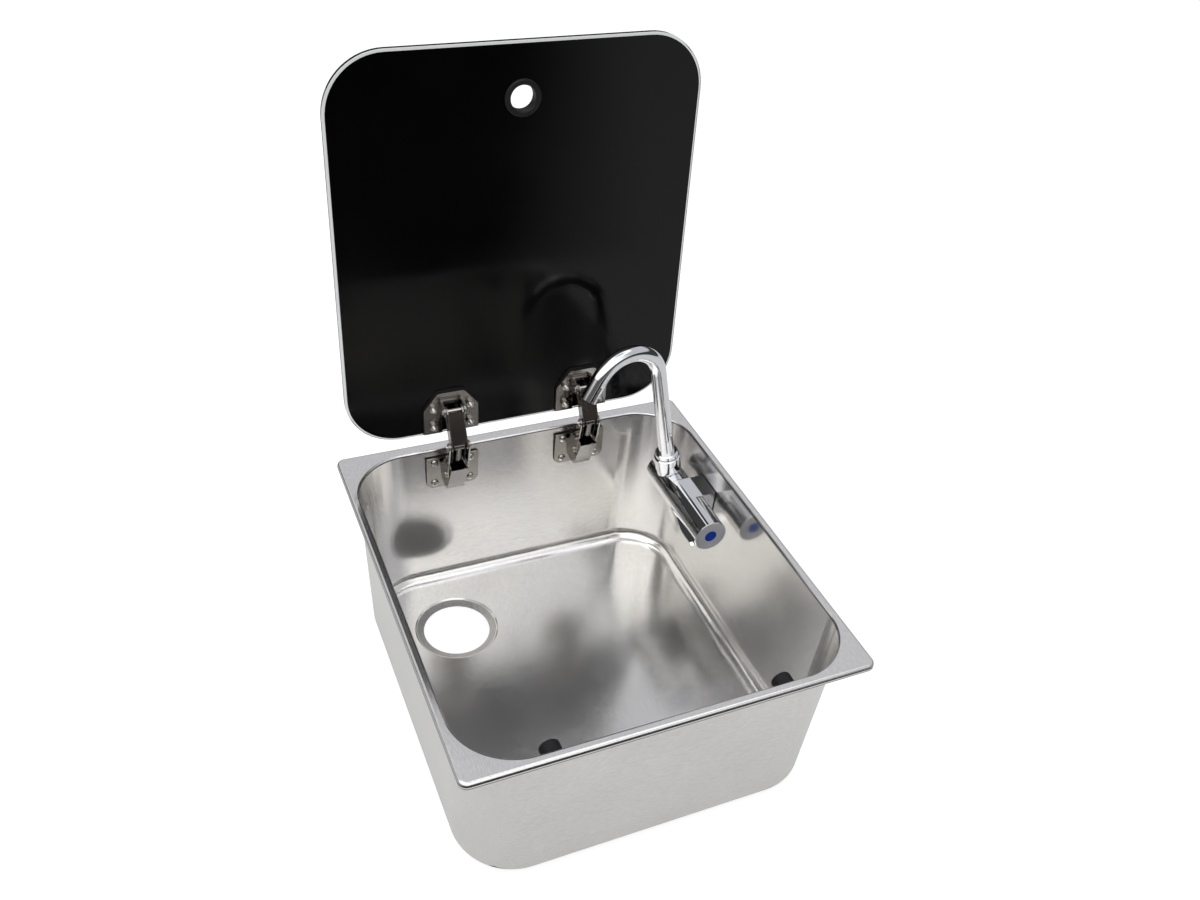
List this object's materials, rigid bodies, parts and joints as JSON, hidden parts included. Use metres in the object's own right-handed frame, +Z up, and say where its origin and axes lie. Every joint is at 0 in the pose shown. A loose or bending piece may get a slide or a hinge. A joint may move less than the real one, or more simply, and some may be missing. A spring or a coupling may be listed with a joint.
{
  "type": "drop-in sink",
  "caption": "Pressed steel camper sink with a folding glass lid on linkage hinges and a cold-water tap whose spout folds down under the lid.",
  "frame": {"origin": "plan centre of the flange, in the plane its turned-down lip seats on", "axes": "+X right along the front, +Y to the back (hinge side), +Z up"},
  "size_m": [0.3895, 0.4202, 0.5746],
  "materials": {
    "bowl_steel": "satin stainless steel",
    "hinge_steel": "polished stainless steel",
    "fastener_steel": "bright steel",
    "chrome": "polished chrome plate",
    "brass": "machined brass",
    "black_glass": "clear toughened glass printed black over all but its rim",
    "grommet_plastic": "satin black",
    "rubber": "matt black",
    "arm_cover": "gloss dark brown",
    "disc_plastic": "satin grey",
    "cold_blue": "gloss blue"
  },
  "bodies": {
    "sink": {"sink_bowl": "bowl_steel", "front_buffers": "rubber", "left_hinge_casing": "hinge_steel", "right_hinge_casing": "hinge_steel", "left_wall_pad": "rubber", "right_wall_pad": "rubber", "hinge_wall_screws": "fastener_steel", "hinge_wall_washers": "fastener_steel", "hinge_wall_nuts": "fastener_steel", "casing_pivot_pins": "fastener_steel", "tap_bracket": "chrome", "tap_wall_gasket": "rubber", "tap_back_washer": "fastener_steel", "tap_back_nut": "brass", "tap_hose_tail": "brass"},
    "hinge_lower_arms": {"left_lower_arm_links": "hinge_steel", "right_lower_arm_links": "hinge_steel", "left_damper_cylinder": "hinge_steel", "right_damper_cylinder": "hinge_steel", "left_damper_cradle": "grommet_plastic", "right_damper_cradle": "grommet_plastic", "elbow_pins": "fastener_steel"},
    "hinge_upper_arms": {"left_upper_arm": "hinge_steel", "right_upper_arm": "hinge_steel", "left_arm_cover": "arm_cover", "right_arm_cover": "arm_cover"},
    "lid": {"lid_glass": "black_glass", "finger_grommet": "grommet_plastic", "left_lid_plate": "hinge_steel", "right_lid_plate": "hinge_steel", "left_lid_pad": "rubber", "right_lid_pad": "rubber", "left_outer_pad": "rubber", "right_outer_pad": "rubber", "left_outer_plate": "hinge_steel", "right_outer_plate": "hinge_steel", "lid_bolts": "fastener_steel", "lid_nuts": "fastener_steel", "lid_pivot_pins": "fastener_steel"},
    "tap_body": {"tap_barrel": "chrome", "barrel_end_cap": "chrome", "tap_cartridge": "brass", "barrel_o_rings": "rubber", "retaining_ring": "fastener_steel", "spout_o_ring": "rubber", "swivel_nut": "chrome"},
    "spout": {"spout_tube": "chrome", "spout_collar": "chrome", "outlet_insert": "grommet_plastic"},
    "tap_knob": {"knob": "chrome", "knob_spindle": "brass", "knob_screw": "fastener_steel", "knob_disc": "disc_plastic", "cold_marker": "cold_blue"}
  },
  "joints": [
    {"name": "lid_lift", "type": "hinge", "parent": "sink", "child": "hinge_lower_arms", "pos_m": [0, 0.174, -0.013], "axis": [1, 0, 0], "range_deg": [0, 133.1]},
    {"name": "elbow_turn", "type": "hinge", "parent": "hinge_lower_arms", "child": "hinge_upper_arms", "pos_m": [0, 0.16634, 0.02626], "axis": [1, 0, 0], "range_deg": [-116.5, 0]},
    {"name": "lid_turn", "type": "hinge", "parent": "hinge_upper_arms", "child": "lid", "pos_m": [0, 0.18262, 0.05837], "axis": [1, 0, 0], "range_deg": [0, 75.75]},
    {"name": "tap_fold", "type": "hinge", "parent": "sink", "child": "tap_body", "pos_m": [0.1495, 0.0848, -0.036], "axis": [0, -1, 0], "range_deg": [0, 81.75]},
    {"name": "spout_swivel", "type": "hinge", "parent": "tap_body", "child": "spout", "pos_m": [0.1495, 0.1235, -0.036], "axis": [-0.2028, 0, 0.9792], "range_deg": [-20, 80]},
    {"name": "knob_turn", "type": "hinge", "parent": "tap_body", "child": "tap_knob", "pos_m": [0.1495, 0.048, -0.036], "axis": [0, -1, 0], "range_deg": [0, 90]}
  ],
  "couplings": [
    {"joint": "elbow_turn", "follows": "lid_lift", "ratio": -0.8752},
    {"joint": "lid_turn", "follows": "lid_lift", "ratio": 0.56902},
    {"joint": "tap_fold", "follows": "lid_lift", "ratio": 0.61381}
  ]
}
